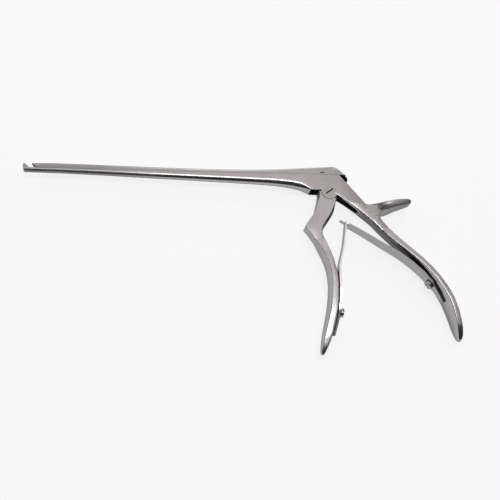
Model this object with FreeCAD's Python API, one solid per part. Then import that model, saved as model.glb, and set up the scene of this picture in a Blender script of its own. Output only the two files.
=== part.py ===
"""Bone rongeur of the up-biting punch pattern: a fixed shaft with its rear handle, a slider that
bites against the shaft's footplate, and a front handle that drives the slider through a fork.

The instrument lies on its side. While it is built, the pivot of the front handle is the origin,
X runs from the jaw at the left to the handles at the right, Y runs up from the grips to the shaft,
and Z runs across the instrument, with its middle plane at Z = 0. All sizes are in millimetres.
"""
import FreeCAD, Part
import math
import os

from FreeCAD import Vector

# Jaw
SLIDE_LEVEL = 10.8
SLIDE_GAP = 0.12
JAW_ROOT_X = -174.8
JAW_LEAN_DEG = 43.0
JAW_OPENING = 4.2
FOOTPLATE_HEIGHT = 3.1
FOOTPLATE_EDGE = 0.5
FOOTPLATE_FRONT_X = -178.3
FOOTPLATE_DISH_RADIUS = 1.3
FOOTPLATE_DISH_DEPTH = 0.25
FOOTPLATE_ROOT_RADIUS = 1.5
NOSE_RADIUS = 2.6
CUP_RADIUS = 1.25
CUP_DEPTH = 1.7
CUP_HEIGHT = 1.6

# Shaft stations: place along X, half width, depth under the slide level, radius of the lower corners
SHAFT_STATIONS = (
    (JAW_ROOT_X, 2.05, 2.05, 1.95),
    (-157.0, 2.10, 2.20, 2.00),
    (-106.0, 2.50, 3.70, 2.40),
    (-53.0, 2.95, 5.40, 2.85),
    (-36.0, 3.20, 6.10, 3.10),
    (-26.0, 3.55, 7.00, 3.40),
    (-18.0, 3.90, 8.40, 3.50),
    (-14.0, 4.00, 9.60, 2.70),
    (-11.0, 4.00, 10.40, 0.90),
)
# Slider stations: place along X, half width, height over the slide level, radius of the upper corners
SLIDER_STATIONS = (
    (-178.0, 2.05, 2.95, 1.40),
    (-170.0, 2.05, 3.20, 1.45),
    (-160.0, 2.10, 3.42, 1.50),
    (-140.0, 2.20, 3.20, 1.50),
    (-106.0, 2.50, 2.60, 1.40),
    (-71.0, 2.75, 2.30, 1.30),
    (-44.0, 3.05, 2.70, 1.30),
    (-26.0, 3.55, 3.40, 1.10),
    (-17.0, 3.92, 3.95, 0.90),
    (-8.0, 4.00, 4.60, 0.70),
    (2.1, 4.00, 5.40, 0.60),
)
SLIDER_HUMP_MIDDLE = (4.6, 5.05)
SLIDER_HUMP_END = (6.6, 3.9)
SLIDER_REAR_X = 10.9

# Head and fork
BODY_WIDTH = 8.0
EDGE_CHAMFER = 0.6
FRONT_NECK_CHAMFER = 0.45
LUG_RADIUS = 4.9
LUG_END_DEG = -28.7
HEAD_BOTTOM_DEPTH = 10.4
HEAD_REAR_X = 7.2
HEAD_SLOT_FRONT_X = -11.3
TONGUE_WIDTH = 3.0
TONGUE_SIDE_CLEARANCE = 0.2
TONGUE_RADIUS = 14.6
TONGUE_END_CLEARANCE = 0.35
TONGUE_REAR_DEG = 29.0
TONGUE_CORNER_RADIUS = 1.6
FORK_PRONG_DEG = 13.0
JAW_TRAVEL = 4.0
SHOULDER_CLEARANCE = 0.3
RUN_OUT_LENGTH = 20.9
RUN_OUT_DEPTH = 5.0
RUN_OUT_DEG = -37.5

# Drive pin across the slider's cheeks
DRIVE_PIN_X = -3.6
DRIVE_PIN_HEIGHT = 1.3
DRIVE_PIN_RADIUS = 1.1
DRIVE_PIN_CLEARANCE = 0.2
DRIVE_SLOT_WIDTH = 0.5
DRIVE_SLOT_DEPTH = 0.4

# Pivot screw
PIVOT_HEAD_RADIUS = 2.9
PIVOT_HEAD_HEIGHT = 1.8
PIVOT_SHANK_RADIUS = 2.0
PIVOT_RUNNING_CLEARANCE = 0.05
PIVOT_SLOT_WIDTH = 0.8
PIVOT_SLOT_DEPTH = 1.0
PIVOT_SLOT_DEG = 35.0
SEAT_CLEARANCE = 0.03

# Guides that hold the slider down on the shaft
GUIDE_STARTS_X = (-150.0, -40.0)
GUIDE_LENGTH = 7.0
GUIDE_NECK_WIDTH = 1.2
GUIDE_NECK_HEIGHT = 0.75
GUIDE_HEAD_WIDTH = 2.2
GUIDE_HEAD_HEIGHT = 0.6
GUIDE_CLEARANCE = 0.14

# Rear neck and the root of the spur, as points of the side outline
NECK_INNER_POINTS = ((9.0, -5.4), (14.8, -9.9), (21.0, -15.0), (31.1, -25.6))
NECK_OUTER_POINTS = ((34.2, -22.3), (31.4, -18.6), (30.0, -15.6))
SPUR_ROOT_LOWER = ((30.2, -13.4), (31.0, -11.6), (33.0, -10.25))
SPUR_ROOT_UPPER = ((33.0, -7.45), (27.0, -8.1), (21.7, -7.4))

# Handle stations: centre X, centre Y, thickness, width across, and how far the broad faces bulge
REAR_GRIP_STATIONS = (
    (26.4, -17.6, 3.7, 7.0, 0.0),
    (29.2, -20.5, 4.1, 7.4, 0.0),
    (32.65, -23.95, 4.5, 7.96, 0.0),
    (40.6, -32.2, 3.6, 10.4, 0.3),
    (51.3, -42.8, 3.2, 13.4, 0.7),
    (60.3, -54.0, 3.2, 15.0, 0.8),
    (66.9, -66.3, 3.3, 15.0, 0.8),
    (70.35, -81.2, 3.4, 12.0, 0.6),
    (70.95, -86.6, 3.1, 8.4, 0.4),
    (71.0, -89.4, 2.4, 5.4, 0.2),
    (70.9, -90.6, 1.6, 2.8, 0.1),
)
SPUR_STATIONS = (
    (28.6, -9.8, 2.7, 7.2, 0.0),
    (33.0, -8.85, 2.75, 7.96, 0.0),
    (39.1, -7.0, 2.2, 10.4, 0.2),
    (44.9, -5.5, 1.9, 12.0, 0.2),
    (48.3, -5.0, 1.7, 10.2, 0.1),
    (50.0, -4.9, 1.4, 6.4, 0.1),
)
FRONT_GRIP_STATIONS = (
    (-9.4, -26.2, 4.4, 6.8, 0.0),
    (-8.3, -28.6, 5.0, 7.4, 0.0),
    (-7.35, -31.0, 5.45, 7.96, 0.0),
    (-4.0, -38.9, 4.3, 10.8, 0.4),
    (-1.4, -48.6, 3.6, 12.0, 0.9),
    (-0.8, -59.0, 3.8, 12.0, 1.1),
    (-2.6, -73.0, 4.1, 11.7, 1.2),
    (-6.2, -86.3, 3.9, 9.8, 1.0),
    (-8.4, -93.4, 3.2, 7.2, 0.6),
    (-9.5, -96.9, 2.3, 4.9, 0.2),
    (-9.9, -98.4, 1.6, 2.8, 0.1),
)
GRIP_CORNER_RADIUS = 0.6
LEAST_BULGE = 0.02
SECTION_STEPS = 2

# Front neck, as points of the side outline from the shoulders down to the knee and the grip
FRONT_NECK_LEFT = ((-6.4, -2.8), (-7.8, -7.9), (-9.5, -13.1), (-13.1, -18.4), (-15.2, -21.7))
KNEE_TIP = (-15.7, -22.7)
FRONT_FOOT_LEFT = ((-15.2, -23.6), (-12.1, -27.9), (-10.1, -31.3))
# The rear side of the front neck carries a third value: the size of the bevel along it. The bevel
# reaches from one place to another, counted in millimetres along this side.
FRONT_NECK_RIGHT = (
    (4.1, -4.6, 0.4),
    (3.2, -7.7, 0.4),
    (2.5, -10.6, 1.0),
    (1.4, -13.9, 1.4),
    (-1.1, -18.0, 1.45),
    (-4.6, -23.2, 1.3),
    (-5.9, -26.2, 0.6),
    (-5.5, -28.4, 0.6),
    (-4.6, -30.7, 0.6),
)
NECK_BEVEL_REACH = (3.1, 24.1)

# Leaf springs. The seats give the tail of each leaf, and the place where it leaves the grip, in
# millimetres along the grip from its first station. The screw seats are counted in the same way.
# Each leaf widens from tail to grip's end. The free stations give centre X, centre Y, thickness and
# width.
LEAF_SEAT_GAP = 0.12
LEAF_SEAT_STEPS = 6
LEAF_TAIL_WIDTH = 2.2
LEAF_ROOT_THICKNESS = 1.3
LEAF_ROOT_WIDTH = 7.2
FRONT_LEAF_SEATS = (62.2, 34.3)
FRONT_LEAF_SCREW_SEAT = 48.4
FRONT_LEAF_FREE = (
    (3.3, -46.5, 1.0, 6.4),
    (5.9, -37.0, 0.9, 5.8),
    (7.7, -28.5, 0.8, 5.4),
    (9.3, -18.2, 0.8, 5.0),
)
REAR_LEAF_SEATS = (63.8, 49.8)
REAR_LEAF_SCREW_SEAT = 49.8
REAR_LEAF_FREE = (
    (47.4, -44.6, 1.1, 8.0),
    (39.2, -38.2, 1.0, 8.0),
    (30.6, -32.8, 0.9, 7.8),
    (22.0, -27.2, 0.8, 7.4),
    (10.7, -20.4, 0.8, 6.6),
)
REAR_TONGUE_END = (5.8, -17.4)
REAR_TONGUE_WIDTH = 2.2
REAR_TONGUE_OVERLAP = 0.6
WINDOW_CLEARANCE = 0.5

# Screws of the leaf springs
SPRING_SCREW_HEAD_RADIUS = 2.7
SPRING_SCREW_HEAD_HEIGHT = 1.7
SPRING_SCREW_HEAD_CHAMFER = 0.3
SPRING_SCREW_HEAD_GAP = 0.2
SPRING_SCREW_SHANK_RADIUS = 1.1
SPRING_SCREW_SHANK_DEPTH = 2.2
SPRING_SCREW_SLOT_WIDTH = 0.7
SPRING_SCREW_SLOT_DEPTH = 0.7

ACROSS = Vector(0, 0, 1)
ALONG = Vector(1, 0, 0)
UP = Vector(0, 1, 0)
TOP_LEVEL = SLIDE_LEVEL + SLIDE_GAP
DRIVE_PIN_Y = SLIDE_LEVEL + DRIVE_PIN_HEIGHT
BORE_MARGIN = 1.0


def point(pair, z=0.0):
    """A point of the side outline, at a height over the middle plane."""
    return Vector(pair[0], pair[1], z)


def polar(radius, degrees):
    """A point of the side outline at a radius and angle about the pivot."""
    turn = math.radians(degrees)
    return (radius * math.cos(turn), radius * math.sin(turn))


def line(start, end):
    return Part.LineSegment(point(start), point(end)).toShape()


def arc(start, middle, end):
    return Part.Arc(point(start), point(middle), point(end)).toShape()


def curve(points):
    """A smooth curve through points of the side outline."""
    spline = Part.BSplineCurve()
    spline.interpolate([point(pair) for pair in points])
    return spline.toShape()


def slab(edges, width):
    """The closed side outline, given width across the instrument, centred on the middle plane."""
    face = Part.Face(Part.Wire(edges))
    face.translate(ACROSS * (-width / 2))
    return face.extrude(ACROSS * width)


def outline(points):
    """Straight edges that close a side outline."""
    closed = list(points) + [points[0]]
    return [line(start, end) for start, end in zip(closed, closed[1:])]


def chamfer_sides(solid, width, size, is_kept):
    """Break the long edges of a slab's two flat faces, where is_kept says so of the edge's middle."""
    edges = []
    for edge in solid.Edges:
        middle = edge.valueAt((edge.FirstParameter + edge.LastParameter) / 2)
        flat = all(abs(abs(corner.z) - width / 2) < 1e-6 for corner in (v.Point for v in edge.Vertexes))
        if flat and abs(abs(middle.z) - width / 2) < 1e-6 and is_kept(middle):
            edges.append(edge)
    return solid.makeChamfer(size, edges)


def rounded_wire(place, across, up, half_width, bottom, top, lower_radius, upper_radius, crown=0.0):
    """A section: a rectangle with rounded corners, whose lower and upper sides may bulge by crown.

    With a crown the corners are two flats each, which keeps the surfaces of a long grip light.
    """
    def at(a, b):
        return place + across * a + up * b

    def corner(side, level, direction, radius, lower_first):
        turn = math.sqrt(0.5)
        beside = at(side * half_width, level + direction * radius)
        inner = at(side * (half_width - radius), level)
        middle = at(side * (half_width - radius + radius * turn), level + direction * radius * (1 - turn))
        ends = (beside, inner) if lower_first else (inner, beside)
        return ends[0], middle, ends[1]

    corners = (
        corner(-1, bottom, 1, lower_radius, True),
        corner(1, bottom, 1, lower_radius, False),
        corner(1, top, -1, upper_radius, True),
        corner(-1, top, -1, upper_radius, False),
    )
    edges = []
    for index, (start, middle, end) in enumerate(corners):
        if (end - start).Length > 1e-6 and crown:
            edges += [Part.LineSegment(start, middle).toShape(), Part.LineSegment(middle, end).toShape()]
        elif (end - start).Length > 1e-6:
            edges.append(Part.Arc(start, middle, end).toShape())
        following = corners[(index + 1) % len(corners)][0]
        if crown and index in (0, 2):
            bulge = up * (crown if index == 2 else -crown)
            edges.append(Part.Arc(end, (end + following) * 0.5 + bulge, following).toShape())
        else:
            edges.append(Part.LineSegment(end, following).toShape())
    return Part.Wire(edges)


def value_at(places, values, place):
    """A smooth curve through the values that never overshoots them, read at a place."""
    rates = [(high - low) / (end - start)
             for start, end, low, high in zip(places, places[1:], values, values[1:])]
    inner = [2 * before * after / (before + after) if before * after > 0 else 0.0
             for before, after in zip(rates, rates[1:])]
    slopes = [rates[0]] + inner + [rates[-1]]
    index = max(index for index, start in enumerate(places[:-1]) if start <= place)
    length = places[index + 1] - places[index]
    share = (place - places[index]) / length
    rest = 1 - share
    rise = values[index + 1] - values[index]
    bend = length * share * rest * (slopes[index] * rest - slopes[index + 1] * share)
    return values[index] + rise * share * share * (3 - 2 * share) + bend


class Spine:
    """A smooth line through stations in the middle plane, with sizes that change along it."""

    def __init__(self, stations):
        self.places = [0.0]
        for start, end in zip(stations, stations[1:]):
            self.places.append(self.places[-1] + math.dist(start[:2], end[:2]))
        self.centre = Part.BSplineCurve()
        self.centre.interpolate(Points=[point(station) for station in stations], Parameters=self.places)
        self.sizes = list(zip(*(station[2:] for station in stations)))

    def at(self, place):
        """The centre, the direction of the thickness and the sizes at a place along the line."""
        sizes = [value_at(self.places, values, place) for values in self.sizes]
        return self.centre.value(place), self.centre.tangent(place)[0].cross(ACROSS), sizes

    def steps(self):
        """The places of the stations, with even steps between them."""
        for start, end in zip(self.places, self.places[1:]):
            for step in range(SECTION_STEPS):
                yield start + (end - start) * step / SECTION_STEPS
        yield self.places[-1]


def strap(stations):
    """A bar with rounded corners and bulging broad faces that follows its stations."""
    spine = Spine(stations)
    wires = []
    for place in spine.steps():
        centre, normal, (thickness, width, crown) = spine.at(place)
        half = thickness / 2
        bulge = max(crown, LEAST_BULGE)
        wires.append(rounded_wire(
            centre, ACROSS, normal, width / 2, -half, half, GRIP_CORNER_RADIUS, GRIP_CORNER_RADIUS, bulge))
    return Part.makeLoft(wires, True, True)


def straight_sections(stations):
    """Places and sizes along a bar whose stations all lie on the slide level."""
    spine = Spine([(x, SLIDE_LEVEL, half_width, depth, radius) for x, half_width, depth, radius in stations])
    for place in spine.steps():
        centre, _, (half_width, depth, radius) = spine.at(place)
        yield centre, half_width, depth, radius


def cylinder(radius, centre, direction, length):
    return Part.makeCylinder(radius, length, centre, direction)


def box(low, high):
    size = high - low
    return Part.makeBox(size.x, size.y, size.z, low)


def bar(centre, long_way, deep_way, length, width, depth):
    """A square bar centred on a point, sunk to a depth: it cuts screwdriver slots."""
    side_way = long_way.cross(deep_way)
    corner = centre - long_way * (length / 2) - side_way * (width / 2)
    face = Part.Face(Part.makePolygon([
        corner,
        corner + long_way * length,
        corner + long_way * length + side_way * width,
        corner + side_way * width,
        corner,
    ]))
    return face.extrude(deep_way * depth)


def pin_angle():
    return math.degrees(math.atan2(DRIVE_PIN_Y, DRIVE_PIN_X))


def make_shaft():
    """The fixed lower shaft, U-shaped below and flat on top, which grows into the head."""
    wires = [rounded_wire(place, ACROSS, UP, half_width, -depth, 0.0, radius, 0.0)
             for place, half_width, depth, radius in straight_sections(SHAFT_STATIONS)]
    return Part.makeLoft(wires, True, True)


def root_round(root_x):
    """The round between the flat top of the shaft and the leaning face: its start, middle and end."""
    lean = math.radians(JAW_LEAN_DEG)
    half_turn = (math.pi / 2 - lean) / 2
    reach = FOOTPLATE_ROOT_RADIUS * math.tan(half_turn)
    start = (root_x + reach, SLIDE_LEVEL)
    middle = (start[0] - FOOTPLATE_ROOT_RADIUS * math.sin(half_turn),
              SLIDE_LEVEL + FOOTPLATE_ROOT_RADIUS * (1 - math.cos(half_turn)))
    end = (root_x - reach * math.sin(lean), SLIDE_LEVEL + reach * math.cos(lean))
    return start, middle, end


def make_nose():
    """The turned-up end of the shaft with the footplate that the slider bites against."""
    _, half_width, depth, radius = SHAFT_STATIONS[0]
    bottom = SLIDE_LEVEL - depth
    top = SLIDE_LEVEL + FOOTPLATE_HEIGHT
    lean = FOOTPLATE_HEIGHT * math.tan(math.radians(JAW_LEAN_DEG))
    inner_top = (JAW_ROOT_X - lean, top)
    edge_top = (inner_top[0] - FOOTPLATE_EDGE, top)
    front = FOOTPLATE_FRONT_X
    turn = NOSE_RADIUS * (1 - math.sqrt(0.5))
    back = SHAFT_STATIONS[0][0] + half_width
    round_start, round_middle, round_end = root_round(JAW_ROOT_X)
    shape = slab([
        line((back, SLIDE_LEVEL), round_start),
        arc(round_start, round_middle, round_end),
        line(round_end, inner_top),
        line(inner_top, edge_top),
        line(edge_top, (front, top - FOOTPLATE_EDGE)),
        line((front, top - FOOTPLATE_EDGE), (front, bottom + NOSE_RADIUS)),
        arc((front, bottom + NOSE_RADIUS), (front + turn, bottom + turn), (front + NOSE_RADIUS, bottom)),
        line((front + NOSE_RADIUS, bottom), (back, bottom)),
        line((back, bottom), (back, SLIDE_LEVEL)),
    ], BODY_WIDTH)
    section = rounded_wire(
        Vector(front - 1, SLIDE_LEVEL, 0), ACROSS, UP, half_width, -depth, FOOTPLATE_HEIGHT, radius, radius)
    shape = shape.common(Part.Face(section).extrude(ALONG * (back - front + 2)))
    lean_rad = math.radians(JAW_LEAN_DEG)
    face_out = Vector(math.cos(lean_rad), math.sin(lean_rad), 0)
    middle = Vector(JAW_ROOT_X - lean / 2, SLIDE_LEVEL + FOOTPLATE_HEIGHT / 2, 0)
    ball = (FOOTPLATE_DISH_RADIUS ** 2 + FOOTPLATE_DISH_DEPTH ** 2) / (2 * FOOTPLATE_DISH_DEPTH)
    dish = Part.makeSphere(ball, middle + face_out * (ball - FOOTPLATE_DISH_DEPTH))
    over_root = box(Vector(front, round_end[1], -BODY_WIDTH), Vector(back, top, BODY_WIDTH))
    return shape.cut(dish.common(over_root))


def is_round_pivot(place):
    """Whether a place is on the round joint between the lug and the front handle's shoulders."""
    return math.hypot(place.x, place.y) < LUG_RADIUS + 2 * SHOULDER_CLEARANCE


def make_body():
    """The head with its pivot lug, the neck of the rear handle and the root of the spur."""
    bottom = SLIDE_LEVEL - HEAD_BOTTOM_DEPTH
    front = SHAFT_STATIONS[-1][0]
    lug_start = (-math.sqrt(LUG_RADIUS ** 2 - bottom ** 2), bottom)
    lug_end = polar(LUG_RADIUS, LUG_END_DEG)
    edges = [
        line((front, SLIDE_LEVEL), (front, bottom)),
        line((front, bottom), lug_start),
        arc(lug_start, (0.0, -LUG_RADIUS), lug_end),
        curve((lug_end,) + NECK_INNER_POINTS),
        line(NECK_INNER_POINTS[-1], NECK_OUTER_POINTS[0]),
        curve(NECK_OUTER_POINTS + SPUR_ROOT_LOWER),
        line(SPUR_ROOT_LOWER[-1], SPUR_ROOT_UPPER[0]),
        curve(SPUR_ROOT_UPPER),
        line(SPUR_ROOT_UPPER[-1], (HEAD_REAR_X, SLIDE_LEVEL)),
        line((HEAD_REAR_X, SLIDE_LEVEL), (front, SLIDE_LEVEL)),
    ]
    shape = slab(edges, BODY_WIDTH)

    def is_kept(middle):
        inside = front + 0.1 < middle.x < NECK_INNER_POINTS[-1][0] and middle.y < SLIDE_LEVEL - 0.1
        return inside and not is_round_pivot(middle)

    return chamfer_sides(shape, BODY_WIDTH, EDGE_CHAMFER, is_kept)


def make_guides():
    """T-shaped lugs on the shaft's flat top that hold the slider down."""
    lugs = []
    for start in GUIDE_STARTS_X:
        end = start + GUIDE_LENGTH
        neck_top = SLIDE_LEVEL + GUIDE_NECK_HEIGHT
        neck_low = Vector(start, SLIDE_LEVEL - GUIDE_HEAD_HEIGHT, -GUIDE_NECK_WIDTH / 2)
        neck_high = Vector(end, neck_top + GUIDE_HEAD_HEIGHT / 2, GUIDE_NECK_WIDTH / 2)
        head_low = Vector(start, neck_top, -GUIDE_HEAD_WIDTH / 2)
        head_high = Vector(end, neck_top + GUIDE_HEAD_HEIGHT, GUIDE_HEAD_WIDTH / 2)
        lugs.append(box(neck_low, neck_high).fuse(box(head_low, head_high)))
    return lugs


def make_head_slot():
    """The slot between the head's cheeks for the lever's tongue, with its run-out down the neck."""
    radius = TONGUE_RADIUS + TONGUE_END_CLEARANCE
    width = TONGUE_WIDTH + 2 * TONGUE_SIDE_CLEARANCE
    disc = cylinder(radius, Vector(0, 0, -width / 2), ACROSS, width)
    kept = box(Vector(HEAD_SLOT_FRONT_X, -radius, -width), Vector(radius, SLIDE_LEVEL + radius, width))
    turn = math.radians(RUN_OUT_DEG)
    along = Vector(math.cos(turn), math.sin(turn), 0)
    inward = Vector(-along.y, along.x, 0)
    end = along * (RUN_OUT_LENGTH - width / 2)
    groove = bar(end * 0.5 - inward, along, inward, end.Length, width, RUN_OUT_DEPTH + 1)
    rounded_end = cylinder(width / 2, end - inward, inward, RUN_OUT_DEPTH + 1)
    return disc.common(kept).fuse([groove, rounded_end])


def make_frame():
    shape = make_shaft().fuse([
        make_nose(),
        make_body(),
        strap(REAR_GRIP_STATIONS),
        strap(SPUR_STATIONS),
    ] + make_guides())
    half = BODY_WIDTH / 2
    shape = shape.cut(make_head_slot())
    shank_bore = cylinder(PIVOT_SHANK_RADIUS + SEAT_CLEARANCE, -ACROSS * BODY_WIDTH, ACROSS, 2 * BODY_WIDTH)
    head_seat = ACROSS * (half - PIVOT_HEAD_HEIGHT)
    head_bore = cylinder(PIVOT_HEAD_RADIUS + SEAT_CLEARANCE, head_seat, ACROSS, half)
    screw_hole = spring_screw_hole(REAR_GRIP_STATIONS, REAR_LEAF_SCREW_SEAT, 1)
    return shape.cut([shank_bore, head_bore, screw_hole]).removeSplitter()


def make_slider():
    """The sliding upper shaft with its biting cup, guide grooves and the slot over the fork."""
    wires = [rounded_wire(place, ACROSS, UP, half_width, SLIDE_GAP, height, 0.0, radius)
             for place, half_width, height, radius in straight_sections(SLIDER_STATIONS)]
    shaft = Part.makeLoft(wires, True, True)
    last_x, _, last_height, _ = SLIDER_STATIONS[-1]
    hump = (last_x, SLIDE_LEVEL + last_height)
    hump_middle = (SLIDER_HUMP_MIDDLE[0], SLIDE_LEVEL + SLIDER_HUMP_MIDDLE[1])
    hump_end = (SLIDER_HUMP_END[0], SLIDE_LEVEL + SLIDER_HUMP_END[1])
    rear = slab([
        line((last_x, TOP_LEVEL), hump),
        arc(hump, hump_middle, hump_end),
        line(hump_end, (SLIDER_REAR_X, TOP_LEVEL)),
        line((SLIDER_REAR_X, TOP_LEVEL), (last_x, TOP_LEVEL)),
    ], BODY_WIDTH)
    rear = chamfer_sides(
        rear, BODY_WIDTH, EDGE_CHAMFER, lambda middle: middle.x > last_x and middle.y > TOP_LEVEL)
    shape = shaft.fuse(rear)
    shape = shape.cut([make_front_trim(), make_cup(), make_fork_room()] + make_guide_grooves())
    pin_base = Vector(DRIVE_PIN_X, DRIVE_PIN_Y, -BODY_WIDTH)
    bore = cylinder(DRIVE_PIN_RADIUS + SEAT_CLEARANCE, pin_base, ACROSS, 2 * BODY_WIDTH)
    return shape.cut(bore).removeSplitter()


def slider_front(height):
    """Where the slanted front face of the slider stands at a height over the slide level."""
    return JAW_ROOT_X + JAW_OPENING - height * math.tan(math.radians(JAW_LEAN_DEG))


def make_front_trim():
    """Everything in front of the slider's slanted biting face."""
    high = 2 * SLIDER_STATIONS[0][2]
    far = SLIDER_STATIONS[0][0] - high
    top = (slider_front(high), SLIDE_LEVEL + high)
    round_start, round_middle, round_end = root_round(JAW_ROOT_X + JAW_OPENING)
    below = (round_start[0], SLIDE_LEVEL - high)
    return slab([
        line(below, round_start),
        arc(round_start, round_middle, round_end),
        line(round_end, top),
        line(top, (far, top[1])),
        line((far, top[1]), (far, below[1])),
        line((far, below[1]), below),
    ], BODY_WIDTH)


def make_cup():
    """The round-ended hollow behind the biting edge, where the bone chips go."""
    mouth = Vector(slider_front(CUP_HEIGHT) - JAW_OPENING, SLIDE_LEVEL + CUP_HEIGHT, 0)
    straight = JAW_OPENING + CUP_DEPTH - CUP_RADIUS / 2
    bottom = mouth + ALONG * straight
    return cylinder(CUP_RADIUS, mouth, ALONG, straight).fuse(Part.makeSphere(CUP_RADIUS, bottom))


def make_fork_room():
    """The room in the slider that the lever's fork swings in while the slider travels."""
    radius = TONGUE_RADIUS + TONGUE_END_CLEARANCE
    width = TONGUE_WIDTH + 2 * TONGUE_SIDE_CLEARANCE
    base = Vector(0, 0, -width / 2)
    sweep = cylinder(radius, base, ACROSS, width)
    sweep = sweep.fuse(cylinder(radius, base + ALONG * JAW_TRAVEL, ACROSS, width))
    sweep = sweep.fuse(box(base - UP * radius, Vector(JAW_TRAVEL, radius, width / 2)))
    front_x = polar(TONGUE_RADIUS, pin_angle() + FORK_PRONG_DEG)[0] - TONGUE_END_CLEARANCE
    return sweep.common(box(Vector(front_x, -radius, -width), Vector(2 * radius, 2 * radius, width)))


def make_guide_grooves():
    """T-grooves over the shaft's lugs, each with a pocket ahead of it where the lug drops in."""
    grooves = []
    low = SLIDE_LEVEL - 1.0
    head_half = GUIDE_HEAD_WIDTH / 2 + GUIDE_CLEARANCE
    neck_half = GUIDE_NECK_WIDTH / 2 + GUIDE_CLEARANCE
    ledge = SLIDE_LEVEL + GUIDE_NECK_HEIGHT - GUIDE_CLEARANCE
    roof = SLIDE_LEVEL + GUIDE_NECK_HEIGHT + GUIDE_HEAD_HEIGHT + GUIDE_CLEARANCE
    for start in GUIDE_STARTS_X:
        front = start - GUIDE_CLEARANCE
        end = start + GUIDE_LENGTH + JAW_TRAVEL + GUIDE_CLEARANCE
        pocket_front = front - GUIDE_LENGTH - 2 * GUIDE_CLEARANCE
        neck = box(Vector(front, low, -neck_half), Vector(end, roof, neck_half))
        head = box(Vector(front, ledge, -head_half), Vector(end, roof, head_half))
        pocket = box(Vector(pocket_front, low, -head_half), Vector(front, roof, head_half))
        grooves.append(neck.fuse([head, pocket]))
    return grooves


def make_tongue():
    """The lever's tongue: a fan about the pivot, forked at the top round the drive pin."""
    front_deg = pin_angle() + FORK_PRONG_DEG
    rear_corner = polar(TONGUE_RADIUS, TONGUE_REAR_DEG)
    front_corner = polar(TONGUE_RADIUS, front_deg)
    shoulder_left = (FRONT_NECK_LEFT[0][0], 0.0)
    edges = [
        arc(rear_corner, polar(TONGUE_RADIUS, (TONGUE_REAR_DEG + front_deg) / 2), front_corner),
        line(front_corner, shoulder_left),
        line(shoulder_left, FRONT_NECK_LEFT[1]),
        line(FRONT_NECK_LEFT[1], FRONT_NECK_RIGHT[1]),
        line(FRONT_NECK_RIGHT[1], FRONT_NECK_RIGHT[0]),
        line(FRONT_NECK_RIGHT[0], rear_corner),
    ]
    fan = slab(edges, TONGUE_WIDTH)
    rear_edges = [edge for edge in fan.Edges
                  if all((v.Point - point(rear_corner, v.Point.z)).Length < 1e-6 for v in edge.Vertexes)]
    fan = fan.makeFillet(TONGUE_CORNER_RADIUS, rear_edges)
    turn = math.radians(pin_angle())
    outward = Vector(math.cos(turn), math.sin(turn), 0)
    inner = outward * Vector(DRIVE_PIN_X, DRIVE_PIN_Y, 0).Length
    half = DRIVE_PIN_RADIUS + DRIVE_PIN_CLEARANCE
    slot_length = TONGUE_RADIUS + half - inner.Length
    base = ACROSS * (-TONGUE_WIDTH)
    seat = cylinder(half, inner + base, ACROSS, 2 * TONGUE_WIDTH)
    fork_base = inner + outward * (slot_length / 2) + base
    fork = bar(fork_base, outward, ACROSS, slot_length, 2 * half, 2 * TONGUE_WIDTH)
    return fan.cut([seat, fork])


def make_front_handle():
    """The moving lever: neck with its round shoulders, pointed knee, grip and tongue."""
    shoulder = LUG_RADIUS + SHOULDER_CLEARANCE
    level = SLIDE_LEVEL - HEAD_BOTTOM_DEPTH - SHOULDER_CLEARANCE
    inner_left = (-math.sqrt(shoulder ** 2 - level ** 2), level)
    outer_left = (FRONT_NECK_LEFT[0][0], level)
    right_turn = math.degrees(math.atan2(FRONT_NECK_RIGHT[0][1], FRONT_NECK_RIGHT[0][0]))
    inner_right = polar(shoulder, right_turn)
    rear_edge = Spine(FRONT_NECK_RIGHT)
    edges = [
        line(outer_left, inner_left),
        arc(inner_left, (0.0, -shoulder), inner_right),
        line(inner_right, FRONT_NECK_RIGHT[0]),
        rear_edge.centre.toShape(),
        line(FRONT_NECK_RIGHT[-1], FRONT_FOOT_LEFT[-1]),
        curve(tuple(reversed(FRONT_FOOT_LEFT))),
        arc(FRONT_FOOT_LEFT[0], KNEE_TIP, FRONT_NECK_LEFT[-1]),
        curve(tuple(reversed(FRONT_NECK_LEFT)) + (outer_left,)),
    ]
    foot = max(FRONT_NECK_RIGHT[-1][1], FRONT_FOOT_LEFT[-1][1])
    neck = slab(edges, BODY_WIDTH)
    neck = chamfer_sides(
        neck, BODY_WIDTH, FRONT_NECK_CHAMFER, lambda middle: middle.y > foot and not is_round_pivot(middle))
    neck = neck.cut(neck_bevels(rear_edge))
    shape = neck.fuse([strap(FRONT_GRIP_STATIONS), make_tongue()])
    running_radius = PIVOT_SHANK_RADIUS + PIVOT_RUNNING_CLEARANCE
    pivot_bore = cylinder(running_radius, -ACROSS * BODY_WIDTH, ACROSS, 2 * BODY_WIDTH)
    screw_hole = spring_screw_hole(FRONT_GRIP_STATIONS, FRONT_LEAF_SCREW_SEAT, -1)
    return shape.cut([pivot_bore, screw_hole]).removeSplitter()


def neck_bevels(edge):
    """What the bevels along the front neck's rear edge take off both faces."""
    start, end = NECK_BEVEL_REACH
    cuts = []
    for side in (-1, 1):
        wires = []
        for place in edge.steps():
            if not start <= place <= end:
                continue
            spot, inward, (size,) = edge.at(place)
            face = spot + ACROSS * (side * BODY_WIDTH / 2)
            inner = face + inward * (size + BORE_MARGIN) + ACROSS * (side * BORE_MARGIN)
            outer = face - inward * BORE_MARGIN - ACROSS * (side * (size + BORE_MARGIN))
            corner = face - inward * BORE_MARGIN + ACROSS * (side * BORE_MARGIN)
            wires.append(Part.makePolygon([inner, outer, corner, inner]))
        cuts.append(Part.makeLoft(wires, True, True))
    return cuts


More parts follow.
